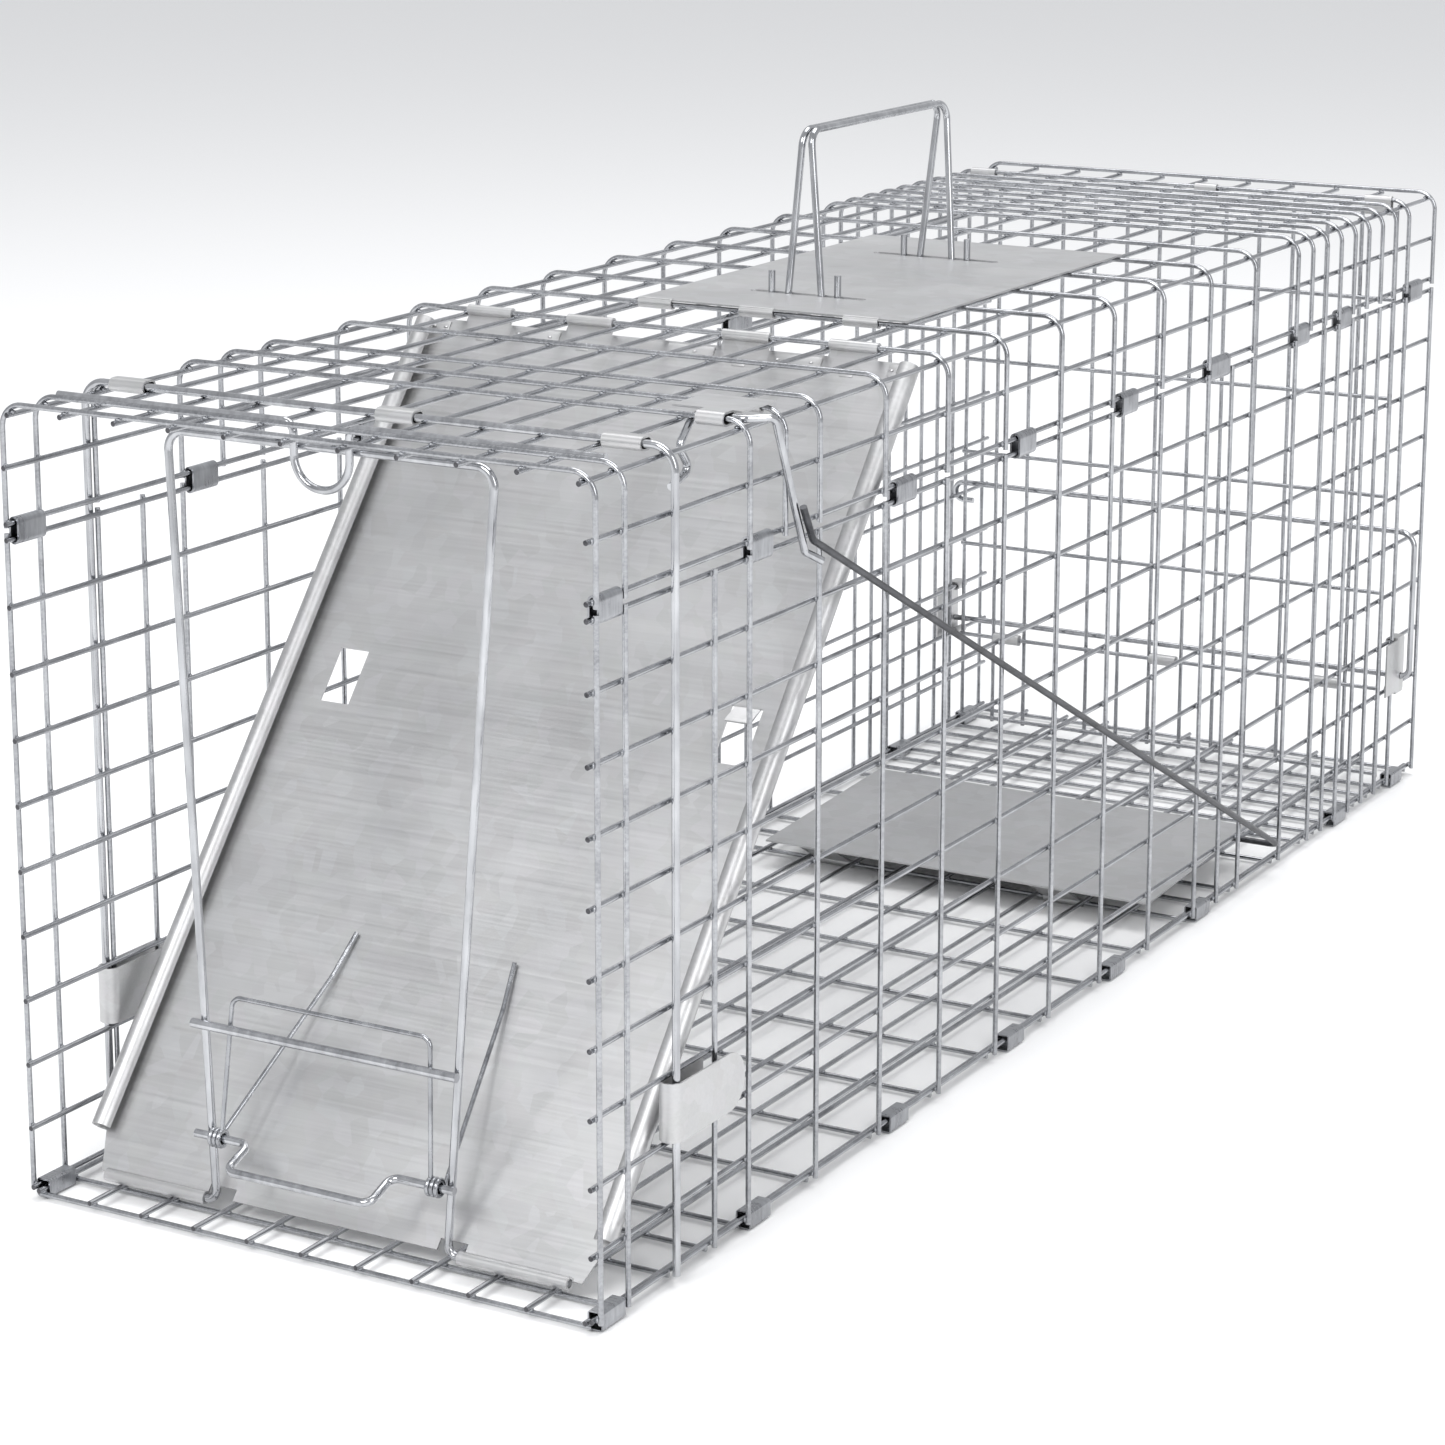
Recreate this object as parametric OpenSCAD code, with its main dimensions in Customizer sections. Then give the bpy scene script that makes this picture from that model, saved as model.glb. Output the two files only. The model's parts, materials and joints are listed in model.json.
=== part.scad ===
// Live catch trap: a welded wire cage with one sloping sheet door at the front,
// an over-centre lock frame that stands on the door's bottom edge, a trip pan
// joined to a trigger catch by a long link rod, a carrying handle on the roof
// and a mesh door at the rear that a bent rod holds shut.
// Millimetres, +Z up. X runs across the cage, Y from front to rear.
// Inside the modules Y = 0 is the front hoop and Z = 0 the foot of the side wires;
// the last transform puts the origin at the middle of the footprint on the floor.

/* [Cage] */
// Distance across the cage between the centres of the side wires
cage_width = 253.6; // [150:0.1:400]
// Height of the roof wires' centres above the foot of the side wires
roof_height = 304.6; // [200:0.1:400]
// Spacing of the upright wires along the front and middle of the cage
main_pitch = 52.63; // [30:0.01:80]
// Spacing of the closer upright wires at the rear
rear_pitch = 18.7; // [10:0.1:30]
// Number of wide spaces between upright wires
main_count = 12; // [8:1:20]
// Spacing of the long wires on the roof and floor
long_pitch = 24.42; // [15:0.01:40]
// Spacing of the long wires up the side walls
side_pitch = 25.4; // [15:0.1:40]
// Diameter of the mesh wire
mesh_wire = 2.1; // [1:0.1:4]
// Inside height of the roof corners' bend, taken on the wire's centre
corner_bend = 9; // [4:0.5:20]

/* [Rods and sheet] */
// Diameter of the frame rod, stop rod, handle wires and rear rod
frame_rod = 3.0; // [2:0.1:5]
// Diameter of the lock frame and finger crank wire
lock_rod = 3.2; // [2:0.1:5]
// Diameter of the lock frame's crossbar
crossbar_rod = 3.6; // [2:0.1:6]
// Diameter of the spring wire
spring_wire = 1.8; // [1:0.1:3]
// Diameter of the link rod
link_wire = 2.8; // [2:0.1:4]
// Thickness of all sheet metal
sheet = 0.8; // [0.5:0.1:2]

/* [Door] */
// Height of the door's bottom axis above the foot of the side wires
door_foot_height = 4.6; // [3:0.1:20]
// Distance of the door's bottom axis behind the front hoop
door_foot_setback = 16; // [5:0.5:60]
// Half the width over the door's rolled side flanges
door_half_width = 117.4; // [60:0.1:180]
// Outside radius of the rolled side flanges
flange_radius = 4.2; // [3:0.1:8]

/* [Trip pan] */
// Distance of the pan's front edge behind the front hoop
pan_front = 508; // [300:1:700]
// Length of the pan from front to rear
pan_length = 120; // [80:1:200]
// Left edge of the pan
pan_left = -90; // [-120:1:0]
// Right edge of the pan
pan_right = 112; // [0:1:120]
// Slope of the set pan in degrees
pan_slope = 3; // [0:0.5:10]

/* [Handle] */
// Height of the grip wires above the foot of the side wires
grip_height = 376; // [330:1:450]
// Front leg of the handle behind the front hoop
handle_front = 355; // [250:1:450]
// Rear leg of the handle behind the front hoop
handle_rear = 478; // [400:1:600]

/* [Hidden] */

// small gap left between crossing wires, where the weld nuggets sit
weld_gap = 0.03;
// gap between a moving piece and what it passes
clear_gap = 0.4;
// radial gap of a hinge curl on its wire
hinge_gap = 0.08;
// extra diameter of slanting bends, and how far they lap over the straights
bead = 0.08;
lap = 0.3;
// how far the long wires stand proud of the end hoops
proud_end = 3;

half_width = cage_width / 2;
mesh_radius = mesh_wire / 2;
frame_radius = frame_rod / 2;
lock_radius = lock_rod / 2;
crossing = mesh_wire + weld_gap;
wall_inner = half_width - crossing;
roof_inner = roof_height - crossing;
rear_start = main_count * main_pitch;
cage_end = rear_start + 10 * rear_pitch;
cage_middle = cage_end / 2;
floor_drop = 3.5;

// height of the lowest long wire on the side walls, the floor wires and the seam wires
side_foot_row = 1.6;
floor_cross_z = -1.55;
floor_long_z = floor_cross_z + crossing;
seam_low = 10 * side_pitch;
seam_high = seam_low + 5.9;

main_stations = [for (i = [0 : main_count]) i * main_pitch];
upper_stations = concat(
    [rear_pitch, 2.5 * main_pitch], main_stations,
    [for (k = [1 : 8]) rear_start + k * rear_pitch], [cage_end]
);
lower_stations = concat(
    [rear_pitch, 1.52 * main_pitch, 10.52 * main_pitch], main_stations,
    [for (k = [2 : 8]) rear_start + k * rear_pitch], [cage_end]
);

// hinge axis of the front door, on the sixth roof hoop
hinge_y = 5 * main_pitch;
hinge_z = roof_height;
door_run = hinge_y - door_foot_setback;
door_rise = hinge_z - door_foot_height;
door_length = norm([door_run, door_rise]);
door_angle = atan2(door_rise, door_run);

// the lock frame: feet on the door's bottom axis, top bar behind the stop rod
lock_top_y = 25.1;
lock_top_z = 296;
lock_half_foot = 52;
lock_half_top = 70.9;
crank_z = 31;
crossbar_z = 74;

// the pan hinges on the floor's cross wire under it
pan_hinge_y = 10 * main_pitch;
link_y = 615.3;
link_z = pan_z(link_y) - sheet / 2 - 1.9;
link_x = half_width + 6.5;
link_top_y = 140.8;
link_top_z = 255.2;

// the catch turns in the bracket's front roll
catch_y = 2 * main_pitch + 4.34;
catch_z = roof_height - 0.3;

rear_hinge_y = rear_start + 8 * rear_pitch;
rear_rod_y = 790;
rear_rod_low = 57;
rear_rod_high = 133;
keeper_row_low = 2 * side_pitch;
keeper_row_high = 3 * side_pitch;

function unit(v) = v / norm(v);
function pan_z(y) = 9.3 + (y - pan_front) * tan(pan_slope);
function bend_radius(r, i) = is_list(r) ? r[i - 1] : r;
function turn_at(pts, i) = acos(unit(pts[i] - pts[i - 1]) * unit(pts[i + 1] - pts[i]));
function reach_at(pts, i, r) = bend_radius(r, i) * tan(turn_at(pts, i) / 2);
function before_bend(pts, i, r) = pts[i] - reach_at(pts, i, r) * unit(pts[i] - pts[i - 1]);
function after_bend(pts, i, r) = pts[i] + reach_at(pts, i, r) * unit(pts[i + 1] - pts[i]);
function leg_y(z) = door_foot_setback
    + (z - door_foot_height) / (lock_top_z - door_foot_height) * (lock_top_y - door_foot_setback);
// a point on the door, s up its slope from the bottom axis and h in front of its plane
function door_point(x, s, h) = [
    x,
    hinge_y - (door_length - s) * cos(door_angle) - h * sin(door_angle),
    hinge_z - (door_length - s) * sin(door_angle) + h * cos(door_angle)
];

module galvanised() color([0.80, 0.81, 0.83]) children();
module bright() color([0.86, 0.87, 0.89]) children();
module sheet_steel() color([0.78, 0.79, 0.81]) children();
module dark_steel() color([0.35, 0.36, 0.38]) children();

// a straight round rod between two points
module straight(p, q, d) {
    v = q - p;
    translate(p)
        rotate([0, acos(v[2] / norm(v)), atan2(v[1], v[0])])
            cylinder(h = norm(v), d = d, $fn = 24);
}

// the round bend of a wire at corner p, between a and b
module bend(a, p, b, r, d) lapped_bend(a, p, b, r, d, 0);

// the same bend, running past both its ends by the given lap
module lapped_bend(a, p, b, r, d, lap) {
    u = unit(p - a);
    v = unit(b - p);
    turn = acos(u * v);
    extra = lap / r * 180 / PI;
    side = unit(v - (u * v) * u);
    centre = p - r * tan(turn / 2) * u + r * side;
    n = cross(-side, u);
    multmatrix([
        [-side[0], u[0], n[0], centre[0]],
        [-side[1], u[1], n[1], centre[1]],
        [-side[2], u[2], n[2], centre[2]]
    ])
        rotate(-extra)
            rotate_extrude(angle = turn + 2 * extra, $fn = 48)
                translate([r, 0])
                    circle(d = d, $fn = 24);
}

// a wire through the given corners, bent to radius r (one number, or one for each corner)
module bent_wire(pts, r, d) {
    last = len(pts) - 1;
    for (i = [0 : last - 1]) {
        from = i == 0 ? pts[0] : after_bend(pts, i, r);
        to = i == last - 1 ? pts[last] : before_bend(pts, i + 1, r);
        straight(from, to, d);
    }
    for (i = [1 : last - 1])
        bend(pts[i - 1], pts[i], pts[i + 1], bend_radius(r, i), d);
}

// the same wire for slanting corners: each bend is a hair thicker and laps over both straights
module formed_wire(pts, r, d) {
    last = len(pts) - 1;
    for (i = [0 : last - 1]) {
        from = i == 0 ? pts[0] : after_bend(pts, i, r);
        to = i == last - 1 ? pts[last] : before_bend(pts, i + 1, r);
        straight(from, to, d);
    }
    for (i = [1 : last - 1])
        lapped_bend(pts[i - 1], pts[i], pts[i + 1], bend_radius(r, i), d + bead, lap);
}

module wire_x(x0, x1, y, z, d = mesh_wire) straight([x0, y, z], [x1, y, z], d);
module wire_y(x, y0, y1, z, d = mesh_wire) straight([x, y0, z], [x, y1, z], d);
module wire_z(x, y, z0, z1, d = mesh_wire) straight([x, y, z0], [x, y, z1], d);

// a short tube along X
module curl(x0, x1, y, z, inner, outer) {
    translate([x0, y, z])
        rotate([0, 90, 0])
            difference() {
                cylinder(h = x1 - x0, r = outer, $fn = 36);
                translate([0, 0, -1])
                    cylinder(h = x1 - x0 + 2, r = inner, $fn = 36);
            }
}

// an outline with round ends about two points
module oval(a, b, r) {
    v = b - a;
    translate(a) circle(r = r, $fn = 48);
    translate(b) circle(r = r, $fn = 48);
    translate(a) rotate(atan2(v[1], v[0])) translate([0, -r]) square([norm(v), 2 * r]);
}

// a closed strap of sheet round two points
module strap(a, b, inner) {
    difference() {
        oval(a, b, inner + sheet);
        oval(a, b, inner);
    }
}

// a Y-Z outline drawn out along X
module along_x(x0, x1) {
    translate([x0, 0, 0])
        rotate([90, 0, 90])
            linear_extrude(height = x1 - x0)
                children();
}

// an X-Z outline drawn out along Y
module along_y(y0, y1) {
    translate([0, y1, 0])
        rotate([90, 0, 0])
            linear_extrude(height = y1 - y0)
                children();
}

module left_side() mirror([1, 0, 0]) children();

// ---- cage panels ----

module roof_hoop(y) {
    foot = seam_low + 4;
    bent_wire([
        [-half_width, y, foot],
        [-half_width, y, roof_height],
        [half_width, y, roof_height],
        [half_width, y, foot]
    ], corner_bend, mesh_wire);
}

module top_panel() galvanised() {
    for (y = upper_stations)
        roof_hoop(y);
    for (i = [-4 : 4])
        wire_y(i * long_pitch, -proud_end, cage_end + proud_end - 1, roof_inner);
    for (side = [-1, 1]) {
        wire_y(side * 5 * long_pitch, -proud_end, cage_end + proud_end - 1, roof_inner - 1.54);
        wire_y(side * wall_inner, -proud_end, cage_end + proud_end - 1, roof_height - 23.6);
        wire_y(side * wall_inner, -proud_end, cage_end + proud_end - 1, seam_high);
    }
}

module side_panel() galvanised() {
    for (y = lower_stations)
        wire_z(half_width, y, 0, seam_low + 1.9);
    wire_y(wall_inner, -proud_end, cage_end + proud_end - 1, side_foot_row);
    for (k = [1 : 10])
        wire_y(wall_inner, -proud_end, cage_end + proud_end - 1, k * side_pitch);
}

module side_panel_left() left_side() side_panel();
module side_panel_right() side_panel();

module floor_panel() galvanised() {
    for (y = lower_stations)
        wire_x(-half_width + 3.5, half_width - 3.5, y, floor_cross_z);
    for (i = [-5 : 5])
        wire_y(i * long_pitch, -proud_end, cage_end + proud_end - 1, floor_long_z);
}

module front_frame_rod() bright() {
    x = half_width + frame_radius + 0.1;
    y = main_pitch - mesh_radius - frame_radius - 0.35;
    bent_wire([
        [-x, y, 0.4],
        [-x, y, roof_height + 0.5],
        [x, y, roof_height + 0.5],
        [x, y, 0.4]
    ], corner_bend, frame_rod);
}

module frame_rod_sleeves() sheet_steel() {
    y = main_pitch - mesh_radius - frame_radius - 0.35;
    for (x = [-107, 13.2, 108])
        along_x(x - 8, x + 8)
            strap([y, roof_height + 0.25], [main_pitch, roof_height + 0.25], 1.85);
}

module stop_rod() bright() {
    y = rear_pitch + mesh_radius + frame_radius + 0.35;
    z = roof_inner + mesh_radius + frame_radius + 0.1;
    dip = z - 23.6;
    bent_wire([
        [-118, y, z], [-12, y, z], [-12, y, dip],
        [12, y, dip], [12, y, z], [118, y, z]
    ], [4, 11.6, 11.6, 4], frame_rod);
}

// ---- clips that join the panels ----

module seam_clip(y, length) {
    along_y(y - length / 2, y + length / 2)
        strap([wall_inner, seam_low], [wall_inner, seam_high], 1.5);
}

module seam_clips() galvanised() {
    for (y = [9.35, 114.6, 229, 337, 440, 641, 697.05])
        seam_clip(y, 15.6);
    seam_clip(540, 22);
    seam_clip(796, 17);
}

module seam_clips_left() left_side() seam_clips();
module seam_clips_right() seam_clips();

module floor_clip(y) {
    left = wall_inner - 4.3;
    right = wall_inner + 2;
    along_y(y - 7.8, y + 7.8)
        difference() {
            polygon([
                [left + 0.8, -floor_drop], [right - 0.8, -floor_drop], [right, 0.8 - floor_drop],
                [right, 3.0], [right - 0.8, 3.8], [left + 0.8, 3.8],
                [left, 3.0], [left, 0.8 - floor_drop]
            ]);
            translate([left + 0.6, 0.6 - floor_drop])
                square([right - left - 1.2, 3.8 + floor_drop - 1.2]);
        }
}

module floor_clips() galvanised() {
    for (y = [9.35, 115, 229, 337, 442, 539, 715.7, 797])
        floor_clip(y);
}

module floor_clips_left() left_side() floor_clips();
module floor_clips_right() floor_clips();

// ---- sheet guards folded round the frame rod's legs ----

module guard() sheet_steel() {
    low = keeper_row_low + 1.5;
    high = keeper_row_high - 1.5;
    inner_x = 122;
    outer_x = 131.1;
    fold_x = (inner_x + outer_x) / 2;
    fold_r = (outer_x - inner_x) / 2;
    fold_y = main_pitch - 2.93;
    tongue = (high - low) / 2;
    translate([0, 0, low])
        linear_extrude(height = high - low)
            difference() {
                translate([fold_x, fold_y]) circle(r = fold_r, $fn = 72);
                translate([fold_x, fold_y]) circle(r = fold_r - sheet, $fn = 72);
                translate([fold_x - 10, fold_y]) square([20, 10]);
            }
    translate([inner_x, fold_y, low])
        cube([sheet, 29, high - low]);
    translate([outer_x - sheet, fold_y, low])
        cube([sheet, 34, high - low]);
    translate([outer_x - sheet, fold_y + 34, (low + high) / 2])
        rotate([0, 90, 0])
            intersection() {
                cylinder(h = sheet, r = tongue, $fn = 72);
                translate([-tongue, 0, 0]) cube([2 * tongue, tongue, sheet]);
            }
}

module side_guard_left() left_side() guard();
module side_guard_right() guard();

// ---- carrying handle ----

module handle_plate() sheet_steel() {
    low = roof_height + mesh_radius + 0.45;
    front = 6 * main_pitch;
    difference() {
        translate([-45, front - 1.4, low]) cube([127, 214, sheet]);
        for (slot = [[handle_front, -13, 42], [handle_rear, -18, 44]])
            translate([0, 0, low - 1])
                linear_extrude(height = sheet + 2)
                    oval([slot[1] + 2.4, slot[0]], [slot[2] - 2.4, slot[0]], 2.4);
    }
    for (x = [-36.6, 12.2, 61])
        difference() {
            curl(x - 8, x + 8, front, roof_height + 0.2, 1.45, 2.35);
            translate([x - 9, front + 0.6, roof_height + 0.2]) cube([18, 3, 1.3]);
        }
}

module handle_wire(stub_x, leg_x, grip_x) bright() {
    hook_z = roof_inner - mesh_radius - frame_radius - 0.15;
    stub_top = roof_height + 11.5;
    formed_wire([
        [stub_x, handle_front, stub_top],
        [stub_x, handle_front, hook_z],
        [leg_x, handle_front, hook_z],
        [grip_x, handle_front + 3, grip_height],
        [grip_x, handle_rear + 7, grip_height],
        [leg_x, handle_rear, hook_z],
        [stub_x, handle_rear, hook_z],
        [stub_x, handle_rear, stub_top]
    ], [2.8, 2.8, 7, 7, 2.8, 2.8], frame_rod);
}

module handle_wire_left() handle_wire(-2.95, 4.4, 10.3);
module handle_wire_right() handle_wire(long_pitch + 4.3, long_pitch - 2.95, 13.9);

// ---- trigger: bracket, catch, link rod and pan ----

module catch_bracket() sheet_steel() {
    front = 2 * main_pitch;
    rear = 2.5 * main_pitch;
    left = 4 * long_pitch + 1.6;
    low = catch_z + 1.9;
    // the front roll starts clear of the catch wire's bend
    along_x(left + 6.2, 117)
        strap([front, catch_z], [catch_y, catch_z], 1.9);
    translate([92, catch_y, low])
        cube([29, rear + 2.6 - catch_y, sheet]);
    curl(left, 117, rear, roof_height, 1.4, 2.2);
}

module trigger_catch() bright() {
    inner_x = 4 * long_pitch + 3.4;
    outer_x = half_width + 3.2;
    formed_wire([
        [inner_x, 93.1, 280.2],
        [inner_x, 106.8, 284.4],
        [inner_x, 98.9, 294],
        [inner_x, catch_y, catch_z],
        [122, catch_y, catch_z],
        [outer_x, 117.7, catch_z],
        [outer_x, 140.6, 250.5],
        [outer_x + 4.5, 146, 246.5]
    ], [3, 3, 3.5, 3, 3.5, 2.2], frame_rod);
}

module link_rod() dark_steel() {
    formed_wire([
        [link_x, 133.1, 269],
        [link_x, link_top_y, link_top_z],
        [link_x, link_y, link_z],
        [-72, link_y, link_z]
    ], [4, 6], link_wire);
}

module trip_pan() sheet_steel() {
    loop_inner = link_wire / 2 + 0.45;
    difference() {
        translate([0, pan_front, pan_z(pan_front)])
            rotate([pan_slope, 0, 0])
                translate([pan_left, 0, -sheet / 2])
                    cube([pan_right - pan_left, pan_length, sheet]);
        translate([pan_left - 5, link_y, link_z])
            rotate([0, 90, 0])
                cylinder(h = pan_right - pan_left + 10, r = loop_inner, $fn = 48);
    }
    for (x = [-65, 84])
        curl(x - 4, x + 4, link_y, link_z, loop_inner, loop_inner + sheet);
    // two tabs run down from the front edge and curl round the floor's cross wire
    for (x = [-2.5, 2.5]) {
        centre = x * long_pitch;
        curl(centre - 10, centre + 10, pan_hinge_y, floor_cross_z,
            mesh_radius + hinge_gap, mesh_radius + hinge_gap + sheet);
        along_x(centre - 10, centre + 10)
            polygon([
                [pan_front + 0.4, pan_z(pan_front) + 0.3],
                [pan_front, pan_z(pan_front) - 0.5],
                [pan_hinge_y - 1.6, floor_cross_z + 1.0],
                [pan_hinge_y - 0.7, floor_cross_z + 1.7]
            ]);
    }
}

// ---- front door ----

module on_door() translate([0, hinge_y, hinge_z]) rotate([door_angle, 0, 0]) children();

module door_plate() sheet_steel() on_door() {
    under = -2.0;
    edge = door_half_width - flange_radius;
    low = -door_length;
    top = -5;
    difference() {
        translate([0, 0, under])
            linear_extrude(height = sheet)
                difference() {
                    polygon([
                        [-108, low + 1.3], [108, low + 1.3], [edge, low + 17], [edge, -8],
                        [edge - 3, top], [3 - edge, top], [-edge, -8], [-edge, low + 17]
                    ]);
                    translate([-94.2, low + 206]) square([13.6, 24]);
                    translate([86.7, low + 206]) square([13.6, 24]);
                    // notches for the bends at the lock frame's feet
                    for (x = [-58, 46])
                        translate([x, low]) square([12, 5.8]);
                }
        for (x = [-110, 56])
            translate([x, low, 0]) rotate([0, 90, 0]) cylinder(h = 54, r = 1.68, $fn = 36);
    }
    // a small tab bent out of the right window
    translate([88, low + 229.6, under])
        rotate([-28, 0, 0])
            translate([0, -9, 0])
                cube([11, 9.6, sheet]);
    // side flanges rolled over to the front
    for (side = [0, 1])
        mirror([side, 0, 0])
            translate([edge, -8, under + flange_radius])
                rotate([90, 0, 0])
                    linear_extrude(height = door_length - 25)
                        difference() {
                            circle(r = flange_radius, $fn = 72);
                            circle(r = flange_radius - sheet, $fn = 72);
                            translate([-6, -6]) square([6, 6.4]);
                        }
    // hinge curls on the roof hoop
    for (x = [-3.5, -1.5, 1.5, 3.5]) {
        centre = x * long_pitch;
        curl(centre - 10.8, centre + 10.8, 0, 0, mesh_radius + hinge_gap, 2.1);
        translate([centre - 10.8, top - 0.5, under])
            cube([21.6, 5.6, sheet]);
    }
    // bottom curls for the lock frame's feet
    for (x = [-104, 57])
        curl(x, x + 47, low, 0, lock_radius + hinge_gap, lock_radius + hinge_gap + sheet);
}

// ---- lock frame on the door's bottom edge ----

module lock_frame() bright() {
    formed_wire([
        [-103, door_foot_setback, door_foot_height],
        [-lock_half_foot, door_foot_setback, door_foot_height],
        [-lock_half_top, lock_top_y, lock_top_z],
        [lock_half_top, lock_top_y, lock_top_z],
        [lock_half_foot, door_foot_setback, door_foot_height],
        [103, door_foot_setback, door_foot_height]
    ], [4, 7, 7, 4], lock_rod);
}

module lock_crossbar() bright() {
    y = leg_y(crossbar_z) - lock_radius - crossbar_rod / 2 - weld_gap;
    wire_x(-60, 58, y, crossbar_z, crossbar_rod);
}

function crank_y() = leg_y(crank_z) - lock_rod - weld_gap;

module finger_crank() bright() {
    arm = 15.6;
    translate([0, crank_y(), crank_z])
        rotate([20.6, 0, 0])
            bent_wire([
                [-59, 0, 0], [-34.5, 0, 0], [-34.5, -arm, 0],
                [29.5, -arm, 0], [29.5, 0, 0], [57, 0, 0]
            ], 4, lock_rod);
}

module lock_spring() bright() {
    coil = lock_radius + clear_gap + spring_wire / 2;
    y = crank_y();
    for (side = [-1, 1]) {
        for (k = [0 : 2])
            translate([side * (46.7 + 1.9 * k), y, crank_z])
                rotate([0, 90, 0])
                    rotate_extrude($fn = 48)
                        translate([coil, 0])
                            circle(d = spring_wire, $fn = 24);
        // the leg leaves its coil on the door's side, clear of the crank
        formed_wire([
            [side * 50.5, y + 0.64 * coil, crank_z - 0.77 * coil],
            door_point(side * 38.8, 94, 1.2),
            door_point(side * 36, 113, 0.4)
        ], 6, spring_wire);
    }
    formed_wire([
        [-46.7, y, crank_z + coil],
        [-44, 18.8, 85.5],
        [44, 18.8, 85.5],
        [46.7, y, crank_z + coil]
    ], 4, spring_wire);
}

// ---- rear door and its lock ----

module rear_door_mesh() galvanised() {
    for (i = [-6.5 : 6.5])
        wire_z(i * 18.4, rear_hinge_y + crossing, 3, roof_height - 4.6);
    for (z = [5.2, 2 * side_pitch, 4 * side_pitch, 6 * side_pitch, 8 * side_pitch,
            10 * side_pitch, roof_height - 6])
        wire_x(-120.3, 120.3, rear_hinge_y, z);
}

module rear_door_hinge_sleeves() sheet_steel() {
    // centre and half length; the middle one fits between an upright and a roof wire
    for (sleeve = [[-110.4, 7], [16.8, 6], [110.4, 7]])
        along_x(sleeve[0] - sleeve[1], sleeve[0] + sleeve[1])
            strap([rear_hinge_y, roof_height - 6], [rear_hinge_y, roof_height], mesh_radius + hinge_gap);
}

module rear_door_low_sleeves() sheet_steel() {
    for (x = [-92, 0, 92])
        curl(x - 7.4, x + 7.4, rear_hinge_y, 2 * side_pitch, mesh_radius + 0.03, 2.9);
}

module keeper() sheet_steel() {
    face = half_width + mesh_radius + 0.35;
    difference() {
        translate([face, 769, keeper_row_low - 1])
            cube([sheet, 25, keeper_row_high - keeper_row_low + 2]);
        translate([face - 1, rear_rod_y, rear_rod_low])
            rotate([0, 90, 0])
                cylinder(h = 4, r = frame_radius + clear_gap, $fn = 36);
    }
    for (row = [[keeper_row_low, -1], [keeper_row_high, 1]]) {
        rotate([90, 0, 0])
            translate([wall_inner, row[0], -793.5])
                difference() {
                    cylinder(h = 10, r = 2.2, $fn = 48);
                    translate([0, 0, -1]) cylinder(h = 12, r = 1.4, $fn = 48);
                }
        edge = row[1] > 0 ? row[0] + 1.38 : row[0] - 2.18;
        translate([wall_inner, 783.5, edge])
            cube([face + sheet - wall_inner, 10, sheet]);
        lip = row[1] > 0 ? row[0] : row[0] - 2.18;
        translate([face, 783.5, lip])
            cube([sheet, 10, 2.18]);
    }
}

module rear_keeper_left() left_side() keeper();
module rear_keeper_right() keeper();

module rear_lock_rod() bright() {
    y = rear_rod_y;
    x = half_width + 6.8;
    bent_wire([
        [-118, y, 123.5],
        [-half_width - 1.8, y, 123.5],
        [-half_width - 1.8, y, rear_rod_high],
        [x, y, rear_rod_high],
        [x, y, rear_rod_low],
        [-half_width - 4.6, y, rear_rod_low]
    ], [4.6, 4.6, 8, 4.4], frame_rod);
}

module placed() translate([0, -cage_middle, floor_drop]) children();

placed() top_panel();
placed() side_panel_left();
placed() side_panel_right();
placed() floor_panel();
placed() front_frame_rod();
placed() frame_rod_sleeves();
placed() stop_rod();
placed() seam_clips_left();
placed() seam_clips_right();
placed() floor_clips_left();
placed() floor_clips_right();
placed() side_guard_left();
placed() side_guard_right();
placed() handle_plate();
placed() handle_wire_left();
placed() handle_wire_right();
placed() catch_bracket();
placed() trigger_catch();
placed() link_rod();
placed() trip_pan();
placed() door_plate();
placed() lock_frame();
placed() lock_crossbar();
placed() finger_crank();
placed() lock_spring();
placed() rear_door_mesh();
placed() rear_door_hinge_sleeves();
placed() rear_door_low_sleeves();
placed() rear_keeper_left();
placed() rear_keeper_right();
placed() rear_lock_rod();
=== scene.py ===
import json
import math

import bmesh
import bpy
from mathutils import Matrix, Vector


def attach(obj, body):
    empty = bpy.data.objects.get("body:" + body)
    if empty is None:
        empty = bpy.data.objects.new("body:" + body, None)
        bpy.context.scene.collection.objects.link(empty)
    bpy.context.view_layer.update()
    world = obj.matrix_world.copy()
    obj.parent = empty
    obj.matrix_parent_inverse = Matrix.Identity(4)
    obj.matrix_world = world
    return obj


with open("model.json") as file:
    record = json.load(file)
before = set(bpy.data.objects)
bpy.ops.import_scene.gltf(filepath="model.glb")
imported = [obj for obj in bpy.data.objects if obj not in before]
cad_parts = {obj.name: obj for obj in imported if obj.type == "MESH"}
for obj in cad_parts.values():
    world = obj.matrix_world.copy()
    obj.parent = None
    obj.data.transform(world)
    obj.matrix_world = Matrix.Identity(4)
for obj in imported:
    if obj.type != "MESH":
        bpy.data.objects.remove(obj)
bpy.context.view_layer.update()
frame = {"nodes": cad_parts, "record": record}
scene = bpy.context.scene

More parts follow.
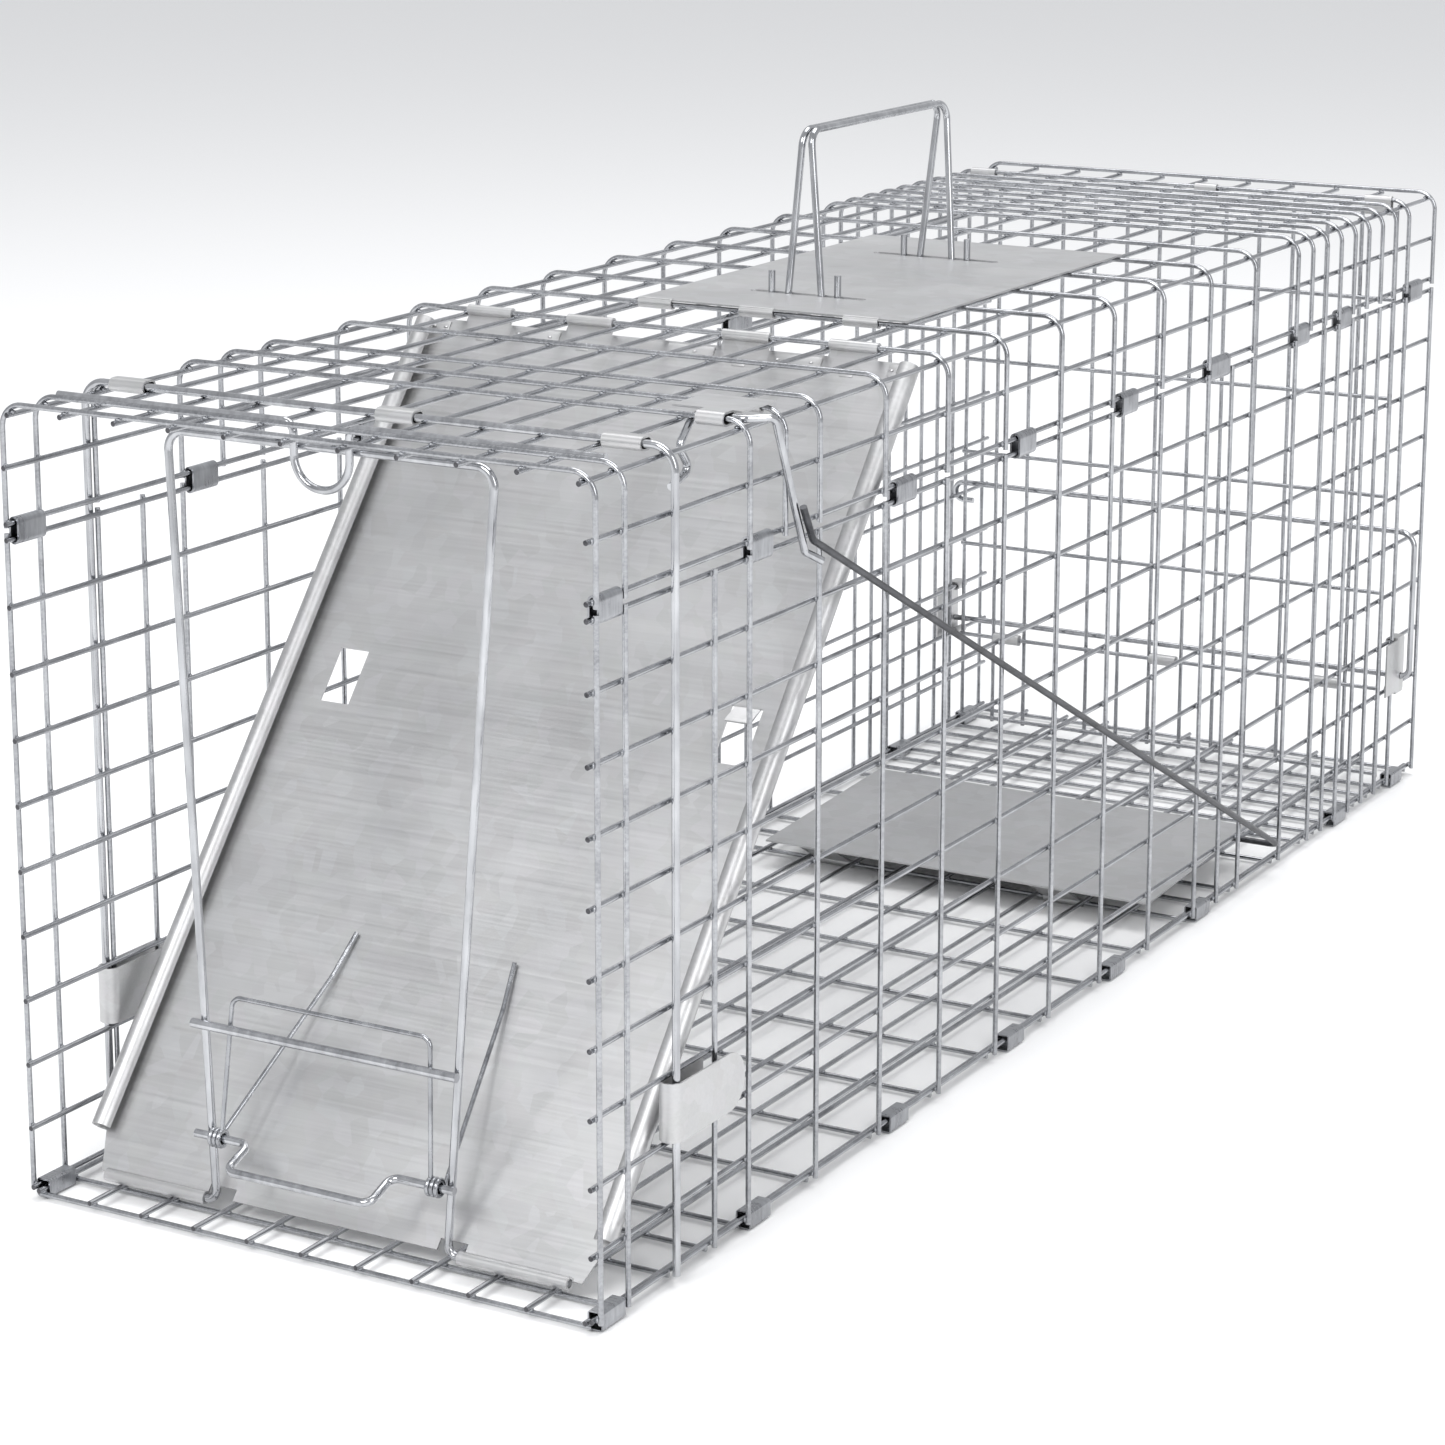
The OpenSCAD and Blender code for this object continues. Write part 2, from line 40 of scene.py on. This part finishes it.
# ---- driving dimensions of the cage, in millimetres as in the CAD ----
MAIN_PITCH = 52.63
REAR_PITCH = 18.7
MAIN_COUNT = 12
LONG_PITCH = 24.42
SIDE_PITCH = 25.4
WIRE = 2.1
CROSSING = WIRE + 0.03
HALF_WIDTH = 126.8
ROOF = 304.6
FRONT_PROUD = 3.0
REAR_PROUD = 2.0
REAR_START = MAIN_COUNT * MAIN_PITCH
CAGE_END = REAR_START + 10 * REAR_PITCH
MIDDLE = CAGE_END / 2
FLOOR_DROP = 3.5
WALL_INNER = HALF_WIDTH - CROSSING
ROOF_INNER = ROOF - CROSSING
SEAM_LOW = 10 * SIDE_PITCH
SEAM_HIGH = SEAM_LOW + 5.9
SIDE_FOOT_ROW = 1.6
TOP_SIDE_ROW = ROOF - 23.6
CORNER_ROW_DROP = 1.54
FLOOR_CROSS = -1.55
FLOOR_LONG = FLOOR_CROSS + CROSSING
HINGE_Y = 5 * MAIN_PITCH
REAR_HINGE_Y = REAR_START + 8 * REAR_PITCH
REAR_DOOR_PITCH = 18.4

MAIN = [i * MAIN_PITCH for i in range(MAIN_COUNT + 1)]
UPPER = [REAR_PITCH, 2.5 * MAIN_PITCH] + MAIN
UPPER += [REAR_START + k * REAR_PITCH for k in range(1, 9)] + [CAGE_END]
LOWER = [REAR_PITCH, 1.52 * MAIN_PITCH, 10.52 * MAIN_PITCH] + MAIN
LOWER += [REAR_START + k * REAR_PITCH for k in range(2, 9)] + [CAGE_END]


def place(x, y, z):
    """A point in the cage's own millimetres, as metres in the frame."""
    return Vector((x / 1000, (y - MIDDLE) / 1000, (z + FLOOR_DROP) / 1000))


# ---- camera ----
CAMERA_PLACE = (0.7921, -1.4897, 0.5688)
CAMERA_AZIMUTH = math.radians(29.94)
CAMERA_PITCH = math.radians(13.16)
cam_data = bpy.data.cameras.new("camera")
cam_data.sensor_width = 36
cam_data.lens = 97
cam_data.shift_x = 0.0105
cam_data.shift_y = -0.1
cam_data.clip_end = 100
cam = bpy.data.objects.new("camera", cam_data)
cam.location = CAMERA_PLACE
cam.rotation_euler = (math.pi / 2 - CAMERA_PITCH, 0, CAMERA_AZIMUTH)
scene.collection.objects.link(cam)
scene.camera = cam


# ---- materials ----
def new_material(name):
    mat = bpy.data.materials.new(name)
    mat.use_nodes = True
    nodes = mat.node_tree.nodes
    return mat, nodes, mat.node_tree.links, nodes["Principled BSDF"]


def metal(name, dark, light, smooth, rough, grain, grain_scale, bump, spots=0.0):
    """Metal whose colour and roughness drift over the surface, with a fine stretched grain."""
    mat, nodes, links, shader = new_material(name)
    shader.inputs["Metallic"].default_value = 1.0
    coords = nodes.new("ShaderNodeTexCoord")
    drift = nodes.new("ShaderNodeTexNoise")
    drift.inputs["Scale"].default_value = grain_scale
    drift.inputs["Detail"].default_value = 6
    links.new(coords.outputs["Object"], drift.inputs["Vector"])
    stretch = nodes.new("ShaderNodeMapping")
    stretch.inputs["Scale"].default_value = grain
    links.new(coords.outputs["Object"], stretch.inputs["Vector"])
    lines = nodes.new("ShaderNodeTexNoise")
    lines.inputs["Scale"].default_value = 1.0
    lines.inputs["Detail"].default_value = 5
    links.new(stretch.outputs["Vector"], lines.inputs["Vector"])
    both = nodes.new("ShaderNodeMix")
    both.data_type = "FLOAT"
    both.inputs[0].default_value = 0.45
    links.new(drift.outputs["Fac"], both.inputs[2])
    links.new(lines.outputs["Fac"], both.inputs[3])
    tone = nodes.new("ShaderNodeValToRGB")
    tone.color_ramp.elements[0].position = 0.32
    tone.color_ramp.elements[0].color = (*dark, 1)
    tone.color_ramp.elements[1].position = 0.68
    tone.color_ramp.elements[1].color = (*light, 1)
    links.new(both.outputs[0], tone.inputs["Fac"])
    colour = tone.outputs["Color"]
    if spots:
        cells = nodes.new("ShaderNodeTexVoronoi")
        cells.inputs["Scale"].default_value = 140
        links.new(coords.outputs["Object"], cells.inputs["Vector"])
        spangle = nodes.new("ShaderNodeMix")
        spangle.data_type = "RGBA"
        spangle.blend_type = "SOFT_LIGHT"
        spangle.inputs[0].default_value = spots
        links.new(colour, spangle.inputs[6])
        links.new(cells.outputs["Color"], spangle.inputs[7])
        grey = nodes.new("ShaderNodeHueSaturation")
        grey.inputs["Saturation"].default_value = 0.12
        links.new(spangle.outputs[2], grey.inputs["Color"])
        colour = grey.outputs["Color"]
    links.new(colour, shader.inputs["Base Color"])
    span = nodes.new("ShaderNodeMapRange")
    span.inputs["From Min"].default_value = 0.3
    span.inputs["From Max"].default_value = 0.7
    span.inputs["To Min"].default_value = smooth
    span.inputs["To Max"].default_value = rough
    links.new(both.outputs[0], span.inputs["Value"])
    links.new(span.outputs["Result"], shader.inputs["Roughness"])
    height = nodes.new("ShaderNodeBump")
    height.inputs["Strength"].default_value = bump
    height.inputs["Distance"].default_value = 0.0002
    links.new(lines.outputs["Fac"], height.inputs["Height"])
    links.new(height.outputs["Normal"], shader.inputs["Normal"])
    return mat


# how fine the grain is along X, Y and Z: a low number draws it out along that axis
ALONG = (900, 12, 900)
ACROSS = (12, 900, 900)
UPRIGHT = (500, 500, 60)
EVEN = (400, 400, 400)
LINK = (300, 20, 300)
mesh_zinc = metal("zinc_wire", (0.24, 0.245, 0.26), (0.50, 0.51, 0.53), 0.14, 0.28, ALONG, 70, 0.10)
rod_zinc = metal("zinc_rod", (0.30, 0.305, 0.32), (0.58, 0.59, 0.61), 0.10, 0.22, (350, 350, 40), 50, 0.06)
clip_zinc = metal("zinc_clip", (0.24, 0.245, 0.26), (0.46, 0.47, 0.49), 0.22, 0.38, (120, 700, 120), 90, 0.20)
sheet_zinc = metal("zinc_sheet", (0.46, 0.465, 0.49), (0.55, 0.555, 0.58), 0.36, 0.50, ACROSS, 16, 0.10, 0.10)
spring_zinc = metal("spring_wire", (0.22, 0.225, 0.24), (0.46, 0.47, 0.49), 0.16, 0.32, UPRIGHT, 90, 0.12)
link_dark = metal("link_steel", (0.035, 0.036, 0.04), (0.12, 0.122, 0.13), 0.22, 0.40, LINK, 60, 0.15)
nugget_zinc = metal("weld_nugget", (0.20, 0.205, 0.22), (0.44, 0.45, 0.47), 0.22, 0.45, EVEN, 300, 0.40)
cut_steel = metal("cut_end", (0.05, 0.05, 0.055), (0.14, 0.14, 0.15), 0.35, 0.55, (600, 600, 600), 500, 0.30)

LOOKS = {
    "mesh_wire": mesh_zinc,
    "clip_steel": clip_zinc,
    "bright_rod": rod_zinc,
    "sheet_steel": sheet_zinc,
    "spring_steel": spring_zinc,
    "link_steel": link_dark,
}
SLOT_OF = {part["node"]: part["material_slot"] for part in frame["record"]["subparts"]}
for node_name, obj in frame["nodes"].items():
    look = LOOKS[SLOT_OF[node_name]]
    if not obj.material_slots:
        obj.data.materials.append(look)
    for entry in obj.material_slots:
        entry.material = look


# ---- small real shapes ----
def make_piece(name, body, mat, build):
    """A mesh piece that build() fills, riding on a body."""
    shape = bmesh.new()
    build(shape)
    mesh = bpy.data.meshes.new(name)
    shape.to_mesh(mesh)
    shape.free()
    mesh.materials.append(mat)
    mesh.polygons.foreach_set("use_smooth", [True] * len(mesh.polygons))
    piece = bpy.data.objects.new(name, mesh)
    scene.collection.objects.link(piece)
    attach(piece, body)
    return piece


def nugget(shape, at, size):
    """A squashed bead of metal pressed out where two wires are welded."""
    spread = Matrix.Diagonal((size[0] / 1000, size[1] / 1000, size[2] / 1000, 1))
    bmesh.ops.create_icosphere(shape, subdivisions=2, radius=1, matrix=Matrix.Translation(at) @ spread)


def cut_end(shape, at, direction, radius):
    """A slightly domed face on a cut wire end."""
    turn = Vector((0, 0, 1)).rotation_difference(Vector(direction)).to_matrix().to_4x4()
    squash = Matrix.Diagonal((radius / 1000, radius / 1000, 0.22 / 1000, 1))
    bmesh.ops.create_uvsphere(
        shape, u_segments=20, v_segments=8, radius=0.96, matrix=Matrix.Translation(at) @ turn @ squash
    )


ROOF_ROWS = [i * LONG_PITCH for i in range(-4, 5)]
SIDE_ROWS = [SIDE_FOOT_ROW] + [k * SIDE_PITCH for k in range(1, 11)]
FLOOR_ROWS = [i * LONG_PITCH for i in range(-5, 6)]


def roof_nuggets(shape):
    for y in UPPER:
        for x in ROOF_ROWS:
            nugget(shape, place(x, y, ROOF - CROSSING / 2), (1.25, 1.25, 0.75))
        for side in (-1, 1):
            nugget(shape, place(side * (5 * LONG_PITCH - 0.6), y, ROOF_INNER - 0.75), (1.1, 1.25, 0.9))
            for z in (TOP_SIDE_ROW, SEAM_HIGH):
                nugget(shape, place(side * (HALF_WIDTH - CROSSING / 2), y, z), (0.75, 1.25, 1.25))


def wall_nuggets(side):
    def build(shape):
        for y in LOWER:
            for z in SIDE_ROWS:
                nugget(shape, place(side * (HALF_WIDTH - CROSSING / 2), y, z), (0.75, 1.25, 1.25))

    return build


def floor_nuggets(shape):
    for y in LOWER:
        for x in FLOOR_ROWS:
            nugget(shape, place(x, y, FLOOR_CROSS + CROSSING / 2), (1.25, 1.25, 0.75))


REAR_DOOR_ROWS = [5.2] + [k * 2 * SIDE_PITCH for k in range(1, 6)] + [ROOF - 6]


def rear_door_nuggets(shape):
    for i in range(14):
        for z in REAR_DOOR_ROWS:
            at = place((i - 6.5) * REAR_DOOR_PITCH, REAR_HINGE_Y + CROSSING / 2, z)
            nugget(shape, at, (1.2, 0.75, 1.2))


make_piece("roof_welds", "cage", nugget_zinc, roof_nuggets)
make_piece("left_wall_welds", "cage", nugget_zinc, wall_nuggets(-1))
make_piece("right_wall_welds", "cage", nugget_zinc, wall_nuggets(1))
make_piece("floor_welds", "cage", nugget_zinc, floor_nuggets)
make_piece("rear_door_welds", "rear_door", nugget_zinc, rear_door_nuggets)


def cage_ends(shape):
    """Dark sheared faces on both ends of every long wire."""
    for y, way in ((-FRONT_PROUD, -1), (CAGE_END + REAR_PROUD, 1)):
        for x in ROOF_ROWS:
            cut_end(shape, place(x, y, ROOF_INNER), (0, way, 0), WIRE / 2)
        for x in FLOOR_ROWS:
            cut_end(shape, place(x, y, FLOOR_LONG), (0, way, 0), WIRE / 2)
        for side in (-1, 1):
            corner = place(side * 5 * LONG_PITCH, y, ROOF_INNER - CORNER_ROW_DROP)
            cut_end(shape, corner, (0, way, 0), WIRE / 2)
            for z in SIDE_ROWS + [TOP_SIDE_ROW, SEAM_HIGH]:
                cut_end(shape, place(side * WALL_INNER, y, z), (0, way, 0), WIRE / 2)
    for side in (-1, 1):
        for y in LOWER:
            cut_end(shape, place(side * HALF_WIDTH, y, 0), (0, 0, -1), WIRE / 2)


make_piece("cage_wire_ends", "cage", cut_steel, cage_ends)

# ---- the front door's pressed details, in the door's own slope ----
FOOT_Y = 16.0
FOOT_Z = 4.6
DOOR_LENGTH = math.hypot(HINGE_Y - FOOT_Y, ROOF - FOOT_Z)
DOOR_ANGLE = math.atan2(ROOF - FOOT_Z, HINGE_Y - FOOT_Y)


def on_door(x, s, h):
    """A point s mm up the door from its bottom axis and h mm in front of its plane."""
    down = DOOR_LENGTH - s
    y = HINGE_Y - down * math.cos(DOOR_ANGLE) - h * math.sin(DOOR_ANGLE)
    z = ROOF - down * math.sin(DOOR_ANGLE) + h * math.cos(DOOR_ANGLE)
    return place(x, y, z)


DOOR_TURN = Matrix.Rotation(DOOR_ANGLE, 4, "X")


def block(shape, at, size, turn, edge=0.25):
    """A small block with softened edges, sizes in millimetres."""
    spread = Matrix.Diagonal((size[0] / 1000, size[1] / 1000, size[2] / 1000, 1))
    made = bmesh.ops.create_cube(shape, size=1, matrix=Matrix.Translation(at) @ turn @ spread)
    edges = list({e for v in made["verts"] for e in v.link_edges})
    bmesh.ops.bevel(shape, geom=edges, offset=edge / 1000, segments=3, affect="EDGES", profile=0.5)


def door_hems(shape):
    """The folded strip between the hinge curls, and the pressed pips that hold it."""
    fold = DOOR_LENGTH - 9
    strip_widths = {-4.4: 9, -2.5: 24, 0: 48, 2.5: 24, 4.4: 9}
    for column, width in strip_widths.items():
        middle = column * LONG_PITCH
        block(shape, on_door(middle, fold, -0.9), (width, 5.5, 0.7), DOOR_TURN)
        for shift in (-0.32, 0.32):
            nugget(shape, on_door(middle + shift * width, fold, -0.5), (1.0, 0.8, 0.5))
    for column in (-3.5, -1.5, 1.5, 3.5):
        rib = on_door(column * LONG_PITCH, DOOR_LENGTH - 13, -1.1)
        block(shape, rib, (6, 0.9, 0.5), DOOR_TURN, 0.2)


make_piece("door_hems", "door", sheet_zinc, door_hems)

# ---- studio ----
FLOOR_REACH = 40
FLOOR_GAP = 0.0003
around = [(-1, -1), (1, -1), (1, 1), (-1, 1)]
floor_mesh = bpy.data.meshes.new("studio_floor")
floor_mesh.from_pydata([(x * FLOOR_REACH, y * FLOOR_REACH, 0) for x, y in around], [], [(0, 1, 2, 3)])
studio_floor = bpy.data.objects.new("studio_floor", floor_mesh)
studio_floor.location.z = -FLOOR_GAP
scene.collection.objects.link(studio_floor)
floor_mat, _, _, floor_shader = new_material("pale_floor")
floor_shader.inputs["Base Color"].default_value = (0.93, 0.93, 0.93, 1)
floor_shader.inputs["Roughness"].default_value = 0.9
floor_shader.inputs["Specular IOR Level"].default_value = 0.1
floor_mesh.materials.append(floor_mat)

world = bpy.data.worlds.new("studio")
world.use_nodes = True
world.node_tree.nodes["Background"].inputs["Color"].default_value = (0.82, 0.83, 0.85, 1)
world.node_tree.nodes["Background"].inputs["Strength"].default_value = 0.85
scene.world = world
scene.view_settings.view_transform = "Standard"


def softbox(name, at, aim, size, power):
    """A soft rectangular light that faces a point."""
    light = bpy.data.lights.new(name, "AREA")
    light.shape = "RECTANGLE"
    light.size = size[0]
    light.size_y = size[1]
    light.energy = power
    lamp = bpy.data.objects.new(name, light)
    lamp.location = at
    lamp.rotation_euler = (Vector(aim) - Vector(at)).to_track_quat("-Z", "Y").to_euler()
    scene.collection.objects.link(lamp)


softbox("key", (0.1, -2.6, 2.0), (0, 0, 0.15), (1.4, 1.0), 46)
softbox("fill", (2.2, -1.2, 1.2), (0, 0, 0.15), (0.8, 1.6), 20)
softbox("top", (0, 0.4, 2.6), (0, 0, 0), (2.4, 1.4), 40)
